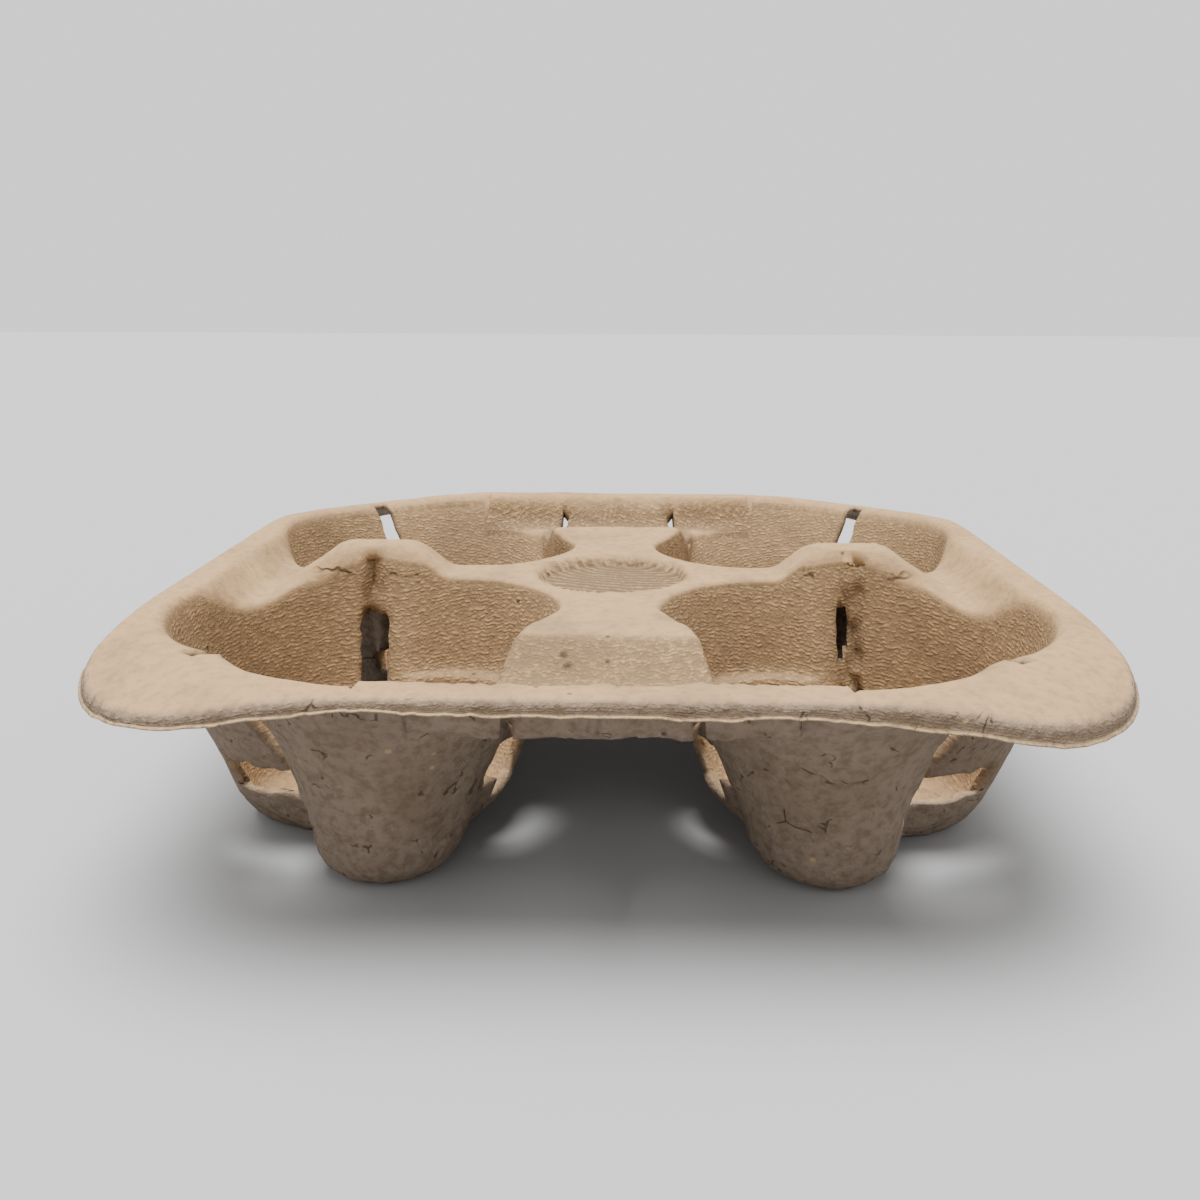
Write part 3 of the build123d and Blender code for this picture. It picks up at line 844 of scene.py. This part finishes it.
def hump_cracks(tree, place, fine_wander):
    """Wandering dark lines along the front and back edge of both humps."""
    axes = add_node(tree, "ShaderNodeSeparateXYZ", {"Vector": place}).outputs
    x, y = maths(tree, "ABSOLUTE", axes["X"]), maths(tree, "ABSOLUTE", axes["Y"])
    path = maths(tree, "MULTIPLY_ADD", fine_wander, 6.0 * MM, (HUMP_CRACK - 3.0) * MM)
    gap = maths(tree, "ABSOLUTE", maths(tree, "SUBTRACT", y, path))
    line = ramp(tree, gap, 0.4 * MM, 0.05 * MM)
    start, full, fade, end = (v * MM for v in HUMP_SPAN)
    span = maths(tree, "MULTIPLY", ramp(tree, x, start, full), ramp(tree, x, end, fade))
    high = ramp(tree, axes["Z"], 51 * MM, 53 * MM)
    return maths(tree, "MULTIPLY", maths(tree, "MULTIPLY", line, span), high)


def dents(tree, place):
    """Two small round dents in the plate of the front arm."""
    total = 0.0
    for dent in DENTS:
        inputs = {0: place, 1: tuple(MM * v for v in dent)}
        away = add_node(tree, "ShaderNodeVectorMath", inputs, operation="DISTANCE").outputs["Value"]
        total = maths(tree, "ADD", ramp(tree, away, 1.5 * MM, 0.3 * MM), total)
    return total


# %% Moulded pulp
# The lower felt colour is the outside's greyer felt, made darker again as painted shade of the walls below
# the rim.
UPPER_FELT, LOWER_FELT_WITH_PAINTED_SHADE, FURROW_AND_LIP_SHADE = "a38561", "807163", "6f5b45"
# The light flash colour tints light specks and frayed edges, and paints a highlight on the lip's flash.
PIT, CRACK, FLASH_AND_HIGHLIGHT = "5e4e3e", "33291f", "a88d68"


def moulded_pulp():
    """Material of the shell: beige felt above, mesh print inside, grey pitted felt outside, darker still
    there and on the lip's shoulder as painted shade.
    """
    material = bpy.data.materials.new("moulded pulp")
    material.use_nodes = True
    tree = material.node_tree
    place = add_node(tree, "ShaderNodeTexCoord").outputs["Object"]
    skin_and_shade = add_node(tree, "ShaderNodeAttribute", attribute_name="skin_and_shade").outputs["Fac"]
    torn = add_node(tree, "ShaderNodeAttribute", attribute_name="torn").outputs["Fac"]
    stored = add_node(tree, "ShaderNodeAttribute", attribute_name="weave").outputs["Vector"]
    weave = add_node(tree, "ShaderNodeSeparateXYZ", {"Vector": stored})
    # Print strength; on the lip's shoulder it is raised above 1 as painted shade.
    print_and_lip_shade = weave.outputs["Z"]
    mottle, wander = grain(tree, place, 25.0, 3.0), grain(tree, place, 8.0, 2.0)
    fine, pits = grain(tree, place, 1.3, 5.0), grain(tree, place, 2.4, 5.0)

    wires = maths(tree, "ADD", mesh_print(tree, weave, wander, fine), rings(tree, place, wander))
    furrow_and_lip_shade = maths(tree, "MULTIPLY", maths(tree, "SUBTRACT", 1.0, wires), print_and_lip_shade)
    crack = maths(tree, "MULTIPLY", cracks(tree, place, wander), maths(tree, "MULTIPLY_ADD", skin_and_shade, 0.9, 0.1))
    layer = maths(tree, "MULTIPLY", hump_cracks(tree, place, wander), maths(tree, "SUBTRACT", 1.0, skin_and_shade))
    dark_marks = maths(tree, "MAXIMUM", maths(tree, "MAXIMUM", crack, layer), dents(tree, place))
    light_specks = maths(tree, "MULTIPLY", specks(tree, place, 7.0, 0.25), skin_and_shade)
    dark_specks = maths(tree, "MULTIPLY", specks(tree, place, 6.0, 0.06), maths(tree, "SUBTRACT", 1.0, skin_and_shade))

    # Lower face and lip shoulder: greyer felt, with painted shade in the darker colour.
    felt = tint(tree, skin_and_shade, colour(UPPER_FELT), LOWER_FELT_WITH_PAINTED_SHADE)
    felt = tint(tree, maths(tree, "MULTIPLY", ramp(tree, mottle, 0.55, 0.3), 0.35), felt, PIT)
    # Darker grooves of the mesh print, and on the lip's shoulder painted shade.
    shade = tint(tree, maths(tree, "MULTIPLY", furrow_and_lip_shade, 0.6), felt, FURROW_AND_LIP_SHADE)
    pitted = maths(tree, "MULTIPLY", ramp(tree, pits, 0.6, 0.3), maths(tree, "MULTIPLY_ADD", skin_and_shade, 0.3, 0.3))
    shade = tint(tree, pitted, shade, PIT)
    shade = tint(tree, maths(tree, "MULTIPLY", dark_marks, 0.7), shade, CRACK)
    shade = tint(tree, maths(tree, "MULTIPLY", dark_specks, 0.7), shade, CRACK)
    shade = tint(tree, maths(tree, "MULTIPLY", light_specks, 0.6), shade, FLASH_AND_HIGHLIGHT)
    # Frayed edges lighter, and the lip's flash lighter as a painted highlight.
    shade = tint(tree, maths(tree, "MULTIPLY", torn, ramp(tree, fine, 0.3, 0.6)), shade, FLASH_AND_HIGHLIGHT)

    depth = maths(tree, "MULTIPLY_ADD", skin_and_shade, 2.0, 0.3)
    height = maths(tree, "MULTIPLY", maths(tree, "ADD", fine, pits), depth)
    height = maths(tree, "MULTIPLY_ADD", furrow_and_lip_shade, -0.9, height)
    height = maths(tree, "MULTIPLY_ADD", dark_marks, -1.2, height)
    bump = add_node(tree, "ShaderNodeBump", {"Strength": 0.75, "Distance": 0.45 * MM, "Height": height})
    shader = tree.nodes["Principled BSDF"]
    shader.inputs["Roughness"].default_value = 0.95
    shader.inputs["Specular IOR Level"].default_value = 0.12
    tree.links.new(shade, shader.inputs["Base Color"])
    tree.links.new(bump.outputs["Normal"], shader.inputs["Normal"])
    return material


pulp = moulded_pulp()
mesh.materials.append(pulp)
print("material", pulp.name, "with", len(pulp.node_tree.nodes), "nodes")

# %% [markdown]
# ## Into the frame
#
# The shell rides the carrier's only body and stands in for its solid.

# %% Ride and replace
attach(shell, "root")
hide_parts("carrier")
print("shell replaces the carrier's solid")

# %% [markdown]
# ## Floor, light and camera
#
# The floor is pale and plain.  One broad soft lamp straight overhead and a white surround
# give the photograph's even light, with the walls below the rim in soft shade.

# %% Floor
floor_mesh = bpy.data.meshes.new("floor")
floor_mesh.from_pydata([(-3, -3, 0), (3, -3, 0), (3, 3, 0), (-3, 3, 0)], [], [(0, 1, 2, 3)])
floor = bpy.data.objects.new("floor", floor_mesh)
bpy.context.collection.objects.link(floor)
paper = bpy.data.materials.new("pale floor")
paper.use_nodes = True
paper.node_tree.nodes["Principled BSDF"].inputs["Base Color"].default_value = colour("9c9c9c")
paper.node_tree.nodes["Principled BSDF"].inputs["Roughness"].default_value = 0.9
floor_mesh.materials.append(paper)
print("floor", floor.dimensions[:2])


# %% Lights
sun = bpy.data.lights.new("overhead", "SUN")
sun.energy, sun.angle = 8.5, np.radians(50)
overhead = bpy.data.objects.new("overhead", sun)
bpy.context.collection.objects.link(overhead)
overhead.rotation_euler = Vector((0.08, -0.02, -1.0)).to_track_quat("-Z", "Y").to_euler()
world = bpy.data.worlds.new("studio")
world.use_nodes = True
world.node_tree.nodes["Background"].inputs["Color"].default_value = colour("ffffff")
world.node_tree.nodes["Background"].inputs["Strength"].default_value = 1.2
bpy.context.scene.world = world
print("one broad lamp overhead and a white surround")

# %% Camera
camera_data = bpy.data.cameras.new("camera")
EYE, LOOK, ROLL = Vector((5.33, -287.98, 124.4)) * MM, Vector((-0.0178, 0.963, -0.269)), 0.21
camera_data.lens, camera_data.sensor_width = 33.37, 36.0
camera_data.shift_x = -0.0105
camera = bpy.data.objects.new("camera", camera_data)
bpy.context.collection.objects.link(camera)
aim = LOOK.to_track_quat("-Z", "Y").to_matrix().to_4x4()
camera.matrix_world = Matrix.Translation(EYE) @ aim @ Matrix.Rotation(np.radians(ROLL), 4, "Z")
bpy.context.scene.camera = camera
print("camera at", [round(v, 3) for v in EYE])
